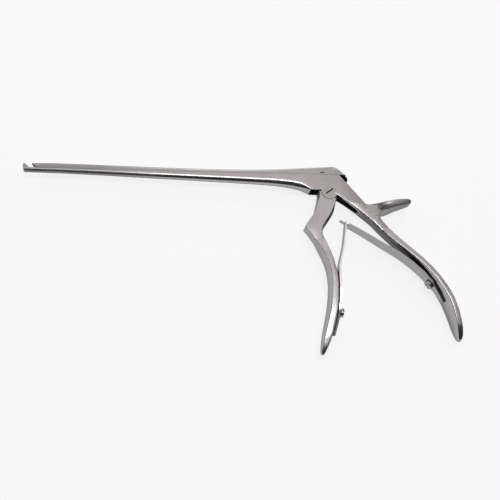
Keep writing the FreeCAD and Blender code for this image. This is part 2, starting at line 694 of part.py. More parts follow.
def make_pivot_screw():
    """The slotted screw on which the lever turns, flush with both cheeks."""
    half = BODY_WIDTH / 2
    shank = cylinder(PIVOT_SHANK_RADIUS, Vector(0, 0, -half), ACROSS, BODY_WIDTH)
    head = cylinder(PIVOT_HEAD_RADIUS, Vector(0, 0, half - PIVOT_HEAD_HEIGHT + SEAT_CLEARANCE), ACROSS,
                    PIVOT_HEAD_HEIGHT - SEAT_CLEARANCE)
    turn = math.radians(PIVOT_SLOT_DEG)
    slot = bar(Vector(0, 0, half), Vector(math.cos(turn), math.sin(turn), 0), -ACROSS,
               3 * PIVOT_HEAD_RADIUS, PIVOT_SLOT_WIDTH, PIVOT_SLOT_DEPTH)
    return shank.fuse(head).cut(slot).removeSplitter()


def make_drive_pin():
    """The screwed pin across the slider's cheeks, which the fork pushes and pulls."""
    half = BODY_WIDTH / 2
    centre = Vector(DRIVE_PIN_X, DRIVE_PIN_Y, half)
    pin = cylinder(DRIVE_PIN_RADIUS, centre - ACROSS * BODY_WIDTH, ACROSS, BODY_WIDTH)
    return pin.cut(bar(centre, ALONG, -ACROSS, 3 * DRIVE_PIN_RADIUS, DRIVE_SLOT_WIDTH, DRIVE_SLOT_DEPTH))


def on_grip(grip, place, side, lift):
    """A point at a height over the crest of a grip's face, and the way out of that face."""
    centre, normal, (thickness, _, crown) = grip.at(place)
    outward = normal * side
    return centre + outward * (thickness / 2 + crown + lift), outward


def spring_screw_hole(stations, seat, side, above=BORE_MARGIN):
    grip = Spine(stations)
    surface, outward = on_grip(grip, seat, side, 0.0)
    depth = SPRING_SCREW_SHANK_DEPTH + SEAT_CLEARANCE
    radius = SPRING_SCREW_SHANK_RADIUS + SEAT_CLEARANCE
    return cylinder(radius, surface - outward * depth, outward, depth + above)


def make_leaf(grip_stations, side, seats, screw_seat, free):
    """A leaf spring that lies on its grip from the tail to the last seat and stands free from there."""
    grip = Spine(grip_stations)
    tail, last = seats
    lift = LEAF_SEAT_GAP + LEAF_ROOT_THICKNESS / 2
    stations = []
    for step in range(LEAF_SEAT_STEPS + 1):
        place = on_grip(grip, tail + (last - tail) * step / LEAF_SEAT_STEPS, side, lift)[0]
        widening = step / LEAF_SEAT_STEPS * (LEAF_ROOT_WIDTH - LEAF_TAIL_WIDTH)
        stations.append((place.x, place.y, LEAF_ROOT_THICKNESS, LEAF_TAIL_WIDTH + widening))
    leaf = Spine(stations + list(free))
    wires = []
    for place in leaf.steps():
        centre, normal, (thickness, width) = leaf.at(place)
        wires.append(rounded_wire(centre, ACROSS, normal, width / 2, -thickness / 2, thickness / 2, 0.0, 0.0))
    hole = spring_screw_hole(grip_stations, screw_seat, side, 2 * LEAF_ROOT_THICKNESS)
    return Part.makeLoft(wires, True, True).cut(hole)


def make_front_leaf():
    """The front leaf, with the window at its tip that the rear leaf's tongue passes through."""
    leaf = make_leaf(FRONT_GRIP_STATIONS, -1, FRONT_LEAF_SEATS, FRONT_LEAF_SCREW_SEAT, FRONT_LEAF_FREE)
    crossing, along = tongue_crossing()
    width = REAR_TONGUE_WIDTH + 2 * WINDOW_CLEARANCE
    height = REAR_LEAF_FREE[-1][2] + 3 * WINDOW_CLEARANCE
    return leaf.cut(bar(crossing - along * height, along.cross(ACROSS), along, height, width, 2 * height))


def tongue_crossing():
    """Where the rear leaf's tongue goes through the front leaf, and the tongue's direction."""
    start = point(REAR_LEAF_FREE[-1])
    along = (point(REAR_TONGUE_END) - start).normalize()
    low = point(FRONT_LEAF_FREE[-2])
    up = (point(FRONT_LEAF_FREE[-1]) - low).normalize()
    gap = start - low
    reach = (gap.x * along.y - gap.y * along.x) / (up.x * along.y - up.y * along.x)
    return low + up * reach, along


def make_rear_leaf():
    """The rear leaf, whose tip narrows at a shoulder to the tongue that hooks the front leaf."""
    leaf = make_leaf(REAR_GRIP_STATIONS, 1, REAR_LEAF_SEATS, REAR_LEAF_SCREW_SEAT, REAR_LEAF_FREE)
    thickness = REAR_LEAF_FREE[-1][2]
    end = point(REAR_TONGUE_END)
    along = (end - point(REAR_LEAF_FREE[-1])).normalize()
    start = point(REAR_LEAF_FREE[-1]) - along * REAR_TONGUE_OVERLAP
    beside = along.cross(ACROSS)
    middle = (start + end) * 0.5 - beside * (thickness / 2)
    tongue = bar(middle, along, beside, (end - start).Length, REAR_TONGUE_WIDTH, thickness)
    return leaf.fuse(tongue).removeSplitter()


def make_spring_screw(stations, seat, side):
    """The cheese-head screw that holds a leaf spring down on its grip."""
    grip = Spine(stations)
    lift = LEAF_SEAT_GAP + LEAF_ROOT_THICKNESS + SPRING_SCREW_HEAD_GAP
    under_head, outward = on_grip(grip, seat, side, lift)
    head = cylinder(SPRING_SCREW_HEAD_RADIUS, under_head, outward, SPRING_SCREW_HEAD_HEIGHT)
    rim = [edge for edge in head.Edges
           if edge.Closed and (edge.CenterOfMass - under_head).dot(outward) > SPRING_SCREW_HEAD_HEIGHT / 2]
    head = head.makeChamfer(SPRING_SCREW_HEAD_CHAMFER, rim)
    shank_length = SPRING_SCREW_SHANK_DEPTH + lift
    shank = cylinder(SPRING_SCREW_SHANK_RADIUS, under_head - outward * shank_length, outward, shank_length)
    top = under_head + outward * SPRING_SCREW_HEAD_HEIGHT
    slot_length = 3 * SPRING_SCREW_HEAD_RADIUS
    slot = bar(top, ACROSS, -outward, slot_length, SPRING_SCREW_SLOT_WIDTH, SPRING_SCREW_SLOT_DEPTH)
    return head.fuse(shank).cut(slot).removeSplitter()


def base_shift(shapes):
    """The move that puts the origin under the middle of the resting instrument."""
    bounds = Part.makeCompound(shapes).optimalBoundingBox(True, False)
    return Vector(-(bounds.XMin + bounds.XMax) / 2, -(bounds.YMin + bounds.YMax) / 2, -bounds.ZMin)


def main():
    parts = {
        "shaft_and_rear_handle": make_frame(),
        "slider": make_slider(),
        "front_handle": make_front_handle(),
        "pivot_screw": make_pivot_screw(),
        "drive_pin": make_drive_pin(),
        "front_leaf_spring": make_front_leaf(),
        "rear_leaf_spring": make_rear_leaf(),
        "front_spring_screw": make_spring_screw(FRONT_GRIP_STATIONS, FRONT_LEAF_SCREW_SEAT, -1),
        "rear_spring_screw": make_spring_screw(REAR_GRIP_STATIONS, REAR_LEAF_SCREW_SEAT, 1),
    }
    shift = base_shift(list(parts.values()))
    os.makedirs("parts", exist_ok=True)
    for name, shape in parts.items():
        shape.translate(shift)
        shape.exportStep("parts/" + name + ".step")
        print(name, "solids", len(shape.Solids), "valid", shape.isValid(), "volume", round(shape.Volume, 2))
    print("pivot at", [round(value, 3) for value in shift])


main()
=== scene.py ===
"""Looks of the bone rongeur: satin steel under soft studio light, seen as in the photograph.

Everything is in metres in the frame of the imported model. The instrument lies on its side on the
floor, with its jaw towards -X, its grips towards -Y and its near face upwards.
"""
import math

import bmesh
import bpy
import numpy as np
from mathutils import Matrix, Vector


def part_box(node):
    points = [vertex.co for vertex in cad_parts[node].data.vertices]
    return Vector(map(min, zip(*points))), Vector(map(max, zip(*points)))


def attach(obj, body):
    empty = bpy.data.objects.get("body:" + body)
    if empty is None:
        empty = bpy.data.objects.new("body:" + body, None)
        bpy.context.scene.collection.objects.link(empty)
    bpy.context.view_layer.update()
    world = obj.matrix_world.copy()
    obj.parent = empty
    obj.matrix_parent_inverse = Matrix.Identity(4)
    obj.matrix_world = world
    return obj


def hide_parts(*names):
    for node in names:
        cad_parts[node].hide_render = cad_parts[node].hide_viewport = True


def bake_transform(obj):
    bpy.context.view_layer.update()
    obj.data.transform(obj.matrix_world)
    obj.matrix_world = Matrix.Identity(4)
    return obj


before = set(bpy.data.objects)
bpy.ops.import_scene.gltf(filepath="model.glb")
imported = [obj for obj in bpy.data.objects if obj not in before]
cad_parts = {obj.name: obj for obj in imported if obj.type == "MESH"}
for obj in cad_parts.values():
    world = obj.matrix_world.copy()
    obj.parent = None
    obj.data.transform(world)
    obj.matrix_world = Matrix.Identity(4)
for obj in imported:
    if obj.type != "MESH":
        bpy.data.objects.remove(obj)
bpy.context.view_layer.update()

MM = 0.001

# Camera, measured from the photograph: its height over the near face, its place beside the pivot as
# shares of that height, the way it looks, and its focal length for a picture one unit wide
CAMERA_HEIGHT = 450 * MM
CAMERA_ASIDE = (-0.25, -0.47)
CAMERA_AIM = (0.14387, 0.38098)
CAMERA_FOCAL = 1.70318
CAMERA_TURN_DEG = 2.07
CAMERA_NEAR = 10.0 * MM
SENSOR_WIDTH_MM = 36.0

WHITE = (1, 1, 1, 1)

# Light levels. A level of 1 shows a white surface as white.
ROOM_LEVEL = 0.92
ROOM_COLOUR = (1.0, 0.90, 0.93)
ROOM_DARK_LEVEL = 0.04
ROOM_EDGE_DEG = 8.0
ROOM_EDGE_SOFTNESS = 0.12
# The room is dimmer to both sides: the bearing of its bright middle, where the fall starts and ends
# beside it, and how much of the light is lost there
ROOM_MIDDLE = 0.12
ROOM_FALL = (0.08, 0.30)
ROOM_SIDE_LOSS = 0.45
# The share of the floor's brightness that no shadow takes away
FLOOR_GLOW = 0.80
FLOOR_REACH = 3.0
# The lamps: name, level, degrees over the horizon, distance, width, depth, and place along X
LAMPS = (
    ("key", 1.3, 30, 0.9, 1.3, 0.45, 0.0),
    ("overhead_strip", 7.0, 87.8, 0.9, 0.56, 0.20, 0.02),
)

# The steels: colour, roughness, the way of the grain and how fine the grain is
ALONG_X = (1, 0, 0)
ALONG_Y = (0, 1, 0)
NO_WAY = (0, 0, 0)
STEELS = {
    "satin_steel": ((0.44, 0.438, 0.432), 0.25, ALONG_X, 900.0),
    "spur_steel": ((0.44, 0.438, 0.432), 0.34, ALONG_X, 900.0),
    "slider_steel": ((0.44, 0.438, 0.432), 0.20, ALONG_X, 900.0),
    "handle_steel": ((0.44, 0.438, 0.434), 0.28, ALONG_Y, 900.0),
    "screw_steel": ((0.40, 0.40, 0.39), 0.26, NO_WAY, 1500.0),
    "pivot_steel": ((0.44, 0.438, 0.434), 0.20, NO_WAY, 1500.0),
    "pin_steel": ((0.40, 0.40, 0.39), 0.24, NO_WAY, 1500.0),
    "spring_steel": ((0.46, 0.46, 0.455), 0.22, ALONG_Y, 1200.0),
    # The front leaf is the rear leaf's steel with double the colour, a painted highlight
    "front_spring_steel_painted_light": ((0.92, 0.92, 0.915), 0.22, ALONG_Y, 1200.0),
}
# How much of its shine a steel keeps where it is seen almost edge on
STEEL_RIM_TINT = 0.30
HANDLE_RIM_TINT = 0.55
# The finish of every steel: how far the grain is drawn out, how fine its clouds and pits are, and
# the shade of the darker clouds with the noise levels where dark and bright start
GRAIN_STRETCH = 0.06
CLOUD_SCALE = 70.0
PIT_SCALE = 2600.0
CLOUD_SHADE = 0.90
CLOUD_LEVELS = (0.30, 0.70)
# Shares of clouds and grain in the colour, of grain and pits in the height, and how much clouds and
# grain change the roughness
COLOUR_SHARES = (0.6, 0.4)
HEIGHT_SHARES = (0.7, 0.3)
ROUGHNESS_SWINGS = (0.20, 0.10)
BUMP_STRENGTH = 0.10
BUMP_DISTANCE = 0.04 * MM
# Faces that meet at less than this angle are shaded as one
SMOOTH_DEG = 50.0
MERGE_DISTANCE = 0.002 * MM

# How deep into the slots of the pivot screw and of the drive pin the painted shade starts
PIVOT_SLOT = 0.3 * MM
PIN_SLOT = 0.2 * MM

# Where the tongue ends: across the middle plane, and over the pivot
TONGUE_SIDE = (1.52 * MM, 1.58 * MM)
TONGUE_FOOT = (0.2 * MM, 0.6 * MM)
# The horn at the tongue's rear corner, by its bearing from the pivot: the corner is turned up, less
# from the first bearing on and not from the second, and a hump is drawn out
HORN_TURN_DEG = 4.0
HORN_TURN_FADE_DEG = (35.0, 56.0)
HORN_BEARING_DEG = 43.0
HORN_SPREAD_DEG = 11.0
HORN_INNER_RADIUS = 12.0 * MM
HORN_REACH = 1.3 * MM
# Painted shade on the lips of the slot's run-out: its lean, its length and how soft its ends are,
# how deep in the neck, and how far from the middle plane, less by the narrowing for each length
# along
RUN_OUT_DEG = -37.5
RUN_OUT_LENGTH = (4.0 * MM, 20.6 * MM)
RUN_OUT_EDGE = 1.0 * MM
RUN_OUT_WALL = (2.0 * MM, 2.4 * MM)
RUN_OUT_SIDE = (3.85 * MM, 4.1 * MM)
RUN_OUT_NARROWING = 0.10
# Painted shade in the notch in front of the lug: along X, along Y, how far from the middle plane it
# ends, and how soft its ends are
NOTCH_X = (-11.6 * MM, -5.0 * MM)
NOTCH_Y = (-1.2 * MM, 0.7 * MM)
NOTCH_SIDE = (3.45 * MM, 3.55 * MM)
NOTCH_EDGE = 0.3 * MM
# The shafts get a painted shade towards the jaw: where it starts and ends, and how much
JAW_SHADE_X = (-150.0 * MM, -75.0 * MM)
JAW_SHADE = 0.36
# The rear neck's inner wall gets a light painted shade: its length from the pivot along the
# run-out's lean, how soft its ends are, how far from the middle plane it ends, and how dark it is
WALL_LENGTH = (16.0 * MM, 64.0 * MM)
WALL_EDGE = 8.0 * MM
WALL_SIDE = (3.15 * MM, 3.45 * MM)
WALL_SHADE = 0.48
# The thumb spur gets painted shade in a band under its near edge and along its far edge, upwards
# from the middle plane
SPUR_BAND = (1.2 * MM, 6.8 * MM)
SPUR_BAND_EDGE = 1.6 * MM
SPUR_FAR_EDGE = (-6.8 * MM, -4.8 * MM)
SPUR_SHADE = 0.52
# The front leaf gets painted shade below its screw
LEAF_TAIL_Y = (-74.0 * MM, -71.0 * MM)
LEAF_TAIL_SHADE = 0.8
# The round on the leaves' edges: its width, its steps and the least angle of an edge that gets it
LEAF_EDGE_ROUND = 0.22 * MM
LEAF_EDGE_STEPS = 2
LEAF_EDGE_DEG = 35.0
# The front neck's rear bevel has crisp edges: where they lie from the pivot, and their least angle
BEVEL_X = (-6.4 * MM, 8.0 * MM)
BEVEL_Y = (-26.0 * MM, -3.5 * MM)
BEVEL_DEG = 34.0

# Recesses get a painted shade: how far their walls reach over a place, how open a place is where
# the shade is full and where it ends, how many rays find that out, its colour, and how much rougher
# it is
RECESS_REACH = 2.5 * MM
RECESS_OPEN = (0.02, 0.55)
RECESS_RAYS = 8
SHADE_COLOUR = (0.012, 0.012, 0.012, 1)
SHADE_ROUGHNESS = 0.5

# The thumb spur, from inside the neck to its tip, in millimetres from the pivot: centre X, centre
# Y, thickness, width across, how far the upper and the lower side bulge, and how much lower the
# lower side is at the far edge than at the near one
SPUR_STATIONS = (
    (22.5, -9.6, 3.6, 7.4, 0.0, 0.0, 0.0),
    (26.5, -9.4, 4.4, 7.2, 0.1, 0.1, 0.6),
    (29.5, -9.1, 4.5, 8.6, 0.1, 0.2, 1.6),
    (32.0, -8.3, 3.3, 11.8, 0.1, 0.3, 2.2),
    (34.8, -7.6, 2.7, 14.2, 0.2, 0.4, 2.2),
    (38.5, -6.8, 2.3, 14.8, 0.2, 0.4, 1.5),
    (42.0, -6.1, 2.2, 14.2, 0.2, 0.4, 0.7),
    (45.5, -5.55, 2.1, 12.4, 0.2, 0.4, 0.3),
    (48.0, -5.2, 1.9, 10.8, 0.2, 0.3, 0.1),
    (49.6, -5.05, 1.6, 8.6, 0.1, 0.2, 0.0),
)
SPUR_RINGS = 72
SPUR_SIDES = 72
SPUR_END_RINGS = 7
# How square the spur's section is: 1 is an ellipse and 0 a box
SPUR_SQUARENESS = 0.30


class Flow:
    """One output of a node tree. Arithmetic on it adds Math nodes to the tree."""

    def __init__(self, tree, socket):
        self.tree = tree
        self.socket = socket

    def __add__(self, other):
        return self.tree.math("ADD", self, other)

    def __radd__(self, other):
        return self.tree.math("ADD", other, self)

    def __sub__(self, other):
        return self.tree.math("SUBTRACT", self, other)

    def __rsub__(self, other):
        return self.tree.math("SUBTRACT", other, self)

    def __mul__(self, other):
        return self.tree.math("MULTIPLY", self, other)


class Tree:
    """The node tree of a material or of the world, with its nodes cleared."""

    def __init__(self, owner):
        owner.use_nodes = True
        self.nodes = owner.node_tree.nodes
        self.links = owner.node_tree.links
        self.nodes.clear()

    def node(self, kind, settings, values, output=0):
        """Adds a node, sets it up, fills or links its sockets, and returns one of its outputs."""
        made = self.nodes.new(kind)
        for name, setting in settings.items():
            if name == "stops":
                self.set_stops(made.color_ramp, setting)
            else:
                setattr(made, name, setting)
        for name, value in values.items():
            if isinstance(value, Flow):
                self.links.new(value.socket, made.inputs[name])
            else:
                made.inputs[name].default_value = value
        return Flow(self, made.outputs[output]) if len(made.outputs) else made

    @staticmethod
    def set_stops(ramp, stops):
        while len(ramp.elements) < len(stops):
            ramp.elements.new(1.0)
        for element, (place, colour) in zip(ramp.elements, stops):
            element.position = place
            element.color = (*colour, 1.0)

    def math(self, operation, first, second):
        return self.node("ShaderNodeMath", {"operation": operation}, {0: first, 1: second})

    def size(self, value):
        """How large a value is, whatever its sign."""
        return self.node("ShaderNodeMath", {"operation": "ABSOLUTE"}, {0: value})

    def along(self, place, way):
        """How far a place lies along a way."""
        settings = {"operation": "DOT_PRODUCT"}
        return self.node("ShaderNodeVectorMath", settings, {0: place, 1: way}, "Value")

    def blend(self, share, first, second):
        """The first colour where share is 0 and the second where it is 1."""
        settings = {"data_type": "RGBA"}
        return self.node("ShaderNodeMix", settings, {"Factor": share, 6: first, 7: second}, 2)

    def rise(self, value, low, high):
        """0 below low, 1 above high and a smooth step between them."""
        settings = {"interpolation_type": "SMOOTHSTEP"}
        values = {"Value": value, "From Min": low, "From Max": high}
        return self.node("ShaderNodeMapRange", settings, values)

    def between(self, value, low, high, edge):
        """1 between low and high, falling to 0 within an edge inside each."""
        return self.rise(value, low, low + edge) * (1 - self.rise(value, high - edge, high))


def steel(name, rim=STEEL_RIM_TINT, painted_shade=None):
    """A steel with fine grain along one way, faint clouds in its polish and tiny pits.

    Grain is noise drawn out along the way of the grain. Clouds are slow noise. Both shift the
    colour and the roughness, and grain and pits feed a faint bump. Places closed in by nearby
    walls, found by ambient occlusion, get a near-black painted shade and more roughness. The last
    argument gives, for the tree and a place, where the steel is free of more painted shade: 0 is
    full shade.
    """
    colour, roughness, grain_way, grain_size = STEELS[name]
    material = bpy.data.materials.new(name)
    tree = Tree(material)
    place = tree.node("ShaderNodeTexCoord", {}, {}, "Object")
    stretch = [grain_size * (GRAIN_STRETCH if way else 1.0) for way in grain_way]
    lie = tree.node("ShaderNodeMapping", {}, {"Vector": place, "Scale": stretch})
    grain = tree.node("ShaderNodeTexNoise", {}, {"Vector": lie, "Scale": 1.0, "Detail": 3.0})
    values = {"Vector": place, "Scale": CLOUD_SCALE, "Detail": 4.0}
    cloud = tree.node("ShaderNodeTexNoise", {}, values)
    values = {"Vector": place, "Scale": PIT_SCALE, "Detail": 1.0}
    pits = tree.node("ShaderNodeTexNoise", {}, values)
    dark = tuple(CLOUD_SHADE * part for part in colour)
    stops = tuple(zip(CLOUD_LEVELS, (dark, colour)))
    level = cloud * COLOUR_SHARES[0] + grain * COLOUR_SHARES[1]
    bright = tree.node("ShaderNodeValToRGB", {"stops": stops}, {"Fac": level})
    # Painted shade where nearby walls close a place in
    settings = {"samples": RECESS_RAYS}
    open_sky = tree.node("ShaderNodeAmbientOcclusion", settings, {"Distance": RECESS_REACH}, "AO")
    unshaded = tree.rise(open_sky, *RECESS_OPEN)
    if painted_shade:
        unshaded = unshaded * painted_shade(tree, place)
    base = tree.blend(unshaded, SHADE_COLOUR, bright)
    finish = roughness + (cloud - 0.5) * ROUGHNESS_SWINGS[0] + (grain - 0.5) * ROUGHNESS_SWINGS[1]
    finish = finish + (1 - unshaded) * SHADE_ROUGHNESS
    height = grain * HEIGHT_SHARES[0] + pits * HEIGHT_SHARES[1]
    values = {"Strength": BUMP_STRENGTH, "Distance": BUMP_DISTANCE, "Height": height}
    bump = tree.node("ShaderNodeBump", {}, values)
    shader = tree.node("ShaderNodeBsdfPrincipled", {}, {
        "Base Color": base, "Metallic": 1.0, "Roughness": finish, "Normal": bump,
        "Specular Tint": (rim, rim, rim, 1)})
    tree.node("ShaderNodeOutputMaterial", {}, {"Surface": shader})
    return material


def slot_shade(depth):
    """Painted shade in a slot deeper than depth below the pivot screw's top, and none above."""
    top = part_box("pivot_screw")[1].z

    def painted_shade(tree, place):
        height = tree.node("ShaderNodeSeparateXYZ", {}, {"Vector": place}, "Z")
        return tree.rise(height, top - depth, top - depth / 2)

    return painted_shade


def tongue_shade(tree, place):
    """Painted shade on the tongue of the front handle, between the cheeks of the head; none
    elsewhere.
    """
    y, z = pivot_parts(tree, place)[1:]
    aside = tree.rise(tree.size(z), *TONGUE_SIDE)
    below = 1 - tree.rise(y, *TONGUE_FOOT)
    return tree.math("MAXIMUM", aside, below)


def pivot_parts(tree, place, turn_deg=0.0):
    """A place seen from the pivot, as parts along an axis in the plane, across it and upwards."""
    turn = math.radians(turn_deg)
    values = {0: place, 1: pivot_point()}
    off = tree.node("ShaderNodeVectorMath", {"operation": "SUBTRACT"}, values, "Vector")
    ways = ((math.cos(turn), math.sin(turn), 0), (-math.sin(turn), math.cos(turn), 0), (0, 0, 1))
    return [tree.along(off, way) for way in ways]


def jaw_shade(tree, place):
    """No painted shade at the head, and a little painted shade towards the jaw."""
    return 1 - (1 - tree.rise(pivot_parts(tree, place)[0], *JAW_SHADE_X)) * JAW_SHADE


def body_shade(tree, place):
    """Painted shade on the run-out's lips, the notch before the lug, the neck's wall and the jaw.
    """
    along, inward, across = pivot_parts(tree, place, RUN_OUT_DEG)
    aside = tree.size(across)
    lips = tree.between(along, *RUN_OUT_LENGTH, RUN_OUT_EDGE)
    lips = lips * (1 - tree.rise(inward, *RUN_OUT_WALL))
    lips = lips * (1 - tree.rise(aside + along * RUN_OUT_NARROWING, *RUN_OUT_SIDE))
    x, y = pivot_parts(tree, place)[:2]
    notch = tree.between(x, *NOTCH_X, NOTCH_EDGE) * tree.between(y, *NOTCH_Y, NOTCH_EDGE)
    notch = notch * (1 - tree.rise(aside, *NOTCH_SIDE))
    wall = tree.between(along, *WALL_LENGTH, WALL_EDGE) * (1 - tree.rise(aside, *WALL_SIDE))
    return (1 - lips) * (1 - notch) * (1 - wall * WALL_SHADE) * jaw_shade(tree, place)


def spur_shade(tree, place):
    """Painted shade in a band under the near edge of the spur and along its far edge."""
    z = pivot_parts(tree, place)[2]
    shade_share = tree.between(z, *SPUR_BAND, SPUR_BAND_EDGE) + 1 - tree.rise(z, *SPUR_FAR_EDGE)
    return 1 - shade_share * SPUR_SHADE


def leaf_shade(tree, place):
    """No painted shade down to the front leaf's screw, and painted shade at its tail."""
    y = pivot_parts(tree, place)[1]
    return 1 - (1 - tree.rise(y, *LEAF_TAIL_Y)) * LEAF_TAIL_SHADE


def draw_out_horn(piece):
    """Turns up the tongue's rear corner and draws it out by a cosine hump over its bearing."""
    pivot = pivot_point()
    places = np.empty(3 * len(piece.data.vertices), np.float32)
    piece.data.vertices.foreach_get("co", places)
    places = places.reshape(-1, 3).astype(float)
    off = places - np.array(pivot)
    radius = np.hypot(off[:, 0], off[:, 1])
    bearing = np.degrees(np.arctan2(off[:, 1], off[:, 0]))
    low, high = HORN_TURN_FADE_DEG
    horn = (radius > HORN_INNER_RADIUS) & (np.abs(off[:, 2]) < TONGUE_SIDE[1])
    horn = horn & (bearing > 0) & (bearing < high)
    bearing = bearing + HORN_TURN_DEG * np.clip((high - bearing) / (high - low), 0, 1)
    hump = np.cos(np.clip((bearing - HORN_BEARING_DEG) / HORN_SPREAD_DEG, -1, 1) * math.pi / 2)
    radius = radius + HORN_REACH * hump
    angle = np.radians(bearing)
    drawn = np.stack([pivot.x + radius * np.cos(angle), pivot.y + radius * np.sin(angle)], -1)
    places[:, :2] = np.where(horn[:, None], drawn, places[:, :2])
    piece.data.vertices.foreach_set("co", places.ravel())


def linked(name, data):
    """A new object of the scene, at the origin."""
    made = bpy.data.objects.new(name, data)
    bpy.context.scene.collection.objects.link(made)
    return made


def smooth_copy(node, name):
    """A merged copy of a CAD node's mesh, shaded smooth where its faces meet at a small angle."""
    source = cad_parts[node]
    mesh = source.data.copy()
    mesh.name = name
    work = bmesh.new()
    work.from_mesh(mesh)
    bmesh.ops.remove_doubles(work, verts=work.verts, dist=MERGE_DISTANCE)
    work.to_mesh(mesh)
    work.free()
    if mesh.has_custom_normals:
        mesh.attributes.remove(mesh.attributes["custom_normal"])
    mesh.polygons.foreach_set("use_smooth", np.ones(len(mesh.polygons), bool))
    mesh.set_sharp_from_angle(angle=math.radians(SMOOTH_DEG))
    made = linked(name, mesh)
    weighted = made.modifiers.new("flat faces stay flat", "WEIGHTED_NORMAL")
    weighted.keep_sharp = True
    weighted.weight = 100
    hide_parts(node)
    return made


def crisp_bevel(piece):
    """Shades the edges of the bevel along the front neck's rear side sharp."""
    pivot = pivot_point()
    work = bmesh.new()
    work.from_mesh(piece.data)
    for edge in work.edges:
        off = (edge.verts[0].co + edge.verts[1].co) / 2 - pivot
        within = BEVEL_X[0] < off.x < BEVEL_X[1] and BEVEL_Y[0] < off.y < BEVEL_Y[1]
        if within and edge.calc_face_angle(0.0) > math.radians(BEVEL_DEG):
            edge.smooth = False
    work.to_mesh(piece.data)
    work.free()


def dress(piece, material):
    """Gives a piece its material."""
    piece.data.materials.clear()
    piece.data.materials.append(material)
    return piece


def round_edges(leaf):
    """Gives a leaf's sharp edges a narrow round that catches the light."""
    bevel = leaf.modifiers.new("edges", "BEVEL")
    bevel.width = LEAF_EDGE_ROUND
    bevel.segments = LEAF_EDGE_STEPS
    bevel.limit_method = "ANGLE"
    bevel.angle_limit = math.radians(LEAF_EDGE_DEG)
    bevel.harden_normals = True


def through(stations, count):
    """Rows on a smooth cubic through the stations.

    Its slope at an inner station is half the way from the one before to the one after. At either
    end it is the way to the next.
    """
    knots = np.array(stations)
    slopes = np.gradient(knots, axis=0)
    place = np.linspace(0, len(knots) - 1, count)
    low = np.minimum(place.astype(int), len(knots) - 2)
    share = (place - low)[:, None]
    rest = 1 - share
    leaving = knots[low] * (1 + 2 * share) + slopes[low] * share
    arriving = knots[low + 1] * (3 - 2 * share) - slopes[low + 1] * rest
    return leaving * rest ** 2 + arriving * share ** 2


def grid_piece(name, points):
    """A closed tube from a grid of points: a row is a ring, and the first and last are poles."""
    rings, sides = points.shape[:2]
    ring, side = np.meshgrid(np.arange(rings - 1), np.arange(sides), indexing="ij")
    beside = (side + 1) % sides
    corners = np.stack([
        ring * sides + side,
        (ring + 1) * sides + side,
        (ring + 1) * sides + beside,
        ring * sides + beside,
    ], -1)
    mesh = bpy.data.meshes.new(name)
    mesh.from_pydata(points.reshape(-1, 3).tolist(), [], corners.reshape(-1, 4).tolist())
    work = bmesh.new()
    work.from_mesh(mesh)
    bmesh.ops.remove_doubles(work, verts=work.verts, dist=MERGE_DISTANCE)
    bmesh.ops.recalc_face_normals(work, faces=work.faces)
    work.to_mesh(mesh)
    work.free()
    mesh.polygons.foreach_set("use_smooth", np.ones(len(mesh.polygons), bool))
    return linked(name, mesh)


def with_ends(rows):
    """Rows with the first and the last one repeated for the rings of the rounded ends."""
    first = rows[:1].repeat(SPUR_END_RINGS, 0)
    last = rows[-1:].repeat(SPUR_END_RINGS, 0)
    return np.concatenate([first, rows, last])


def spur_points():
    """The spur's surface, ring by ring along its centre line.

    A ring is a rounded box: across is the cosine and rise the sine of an angle, each raised to the
    squareness with its sign kept. The sides bulge by a parabola that is 0 at the corners, and the
    lower side sinks in proportion to how far it is from the near edge. Past either end the ring
    shrinks by a cosine while it moves on by a sine.
    """
    line = through(SPUR_STATIONS, SPUR_RINGS) * MM
    way = np.gradient(line[:, :2], axis=0)
    way /= np.linalg.norm(way, axis=1)[:, None]
    rows, way = with_ends(line), with_ends(way)
    thick, wide, upper, lower, sink = (rows[:, column, None] for column in range(2, 7))
    turn = np.linspace(0, math.pi / 2, SPUR_END_RINGS)
    ones = np.ones(SPUR_RINGS)
    size = np.concatenate([np.cos(turn[::-1]), ones, np.cos(turn)])[:, None]
    onward = np.concatenate([-np.sin(turn[::-1]), 0 * ones, np.sin(turn)])[:, None] * thick / 2
    angle = np.linspace(0, 2 * math.pi, SPUR_SIDES, endpoint=False)
    across = np.sign(np.cos(angle)) * np.abs(np.cos(angle)) ** SPUR_SQUARENESS
    rise = np.sign(np.sin(angle)) * np.abs(np.sin(angle)) ** SPUR_SQUARENESS
    bulge = np.where(rise > 0, upper, -lower) * (1 - across ** 2)
    bulge = bulge - np.where(rise > 0, 0.0, sink) * (1 - across) / 2
    lift = (thick / 2 * rise + bulge) * size
    pivot = pivot_point()
    centre = rows[:, :2] + way * onward
    return np.stack([
        pivot.x + centre[:, :1] - way[:, 1:] * lift,
        pivot.y + centre[:, 1:] + way[:, :1] * lift,
        pivot.z + wide / 2 * across * size,
    ], -1)


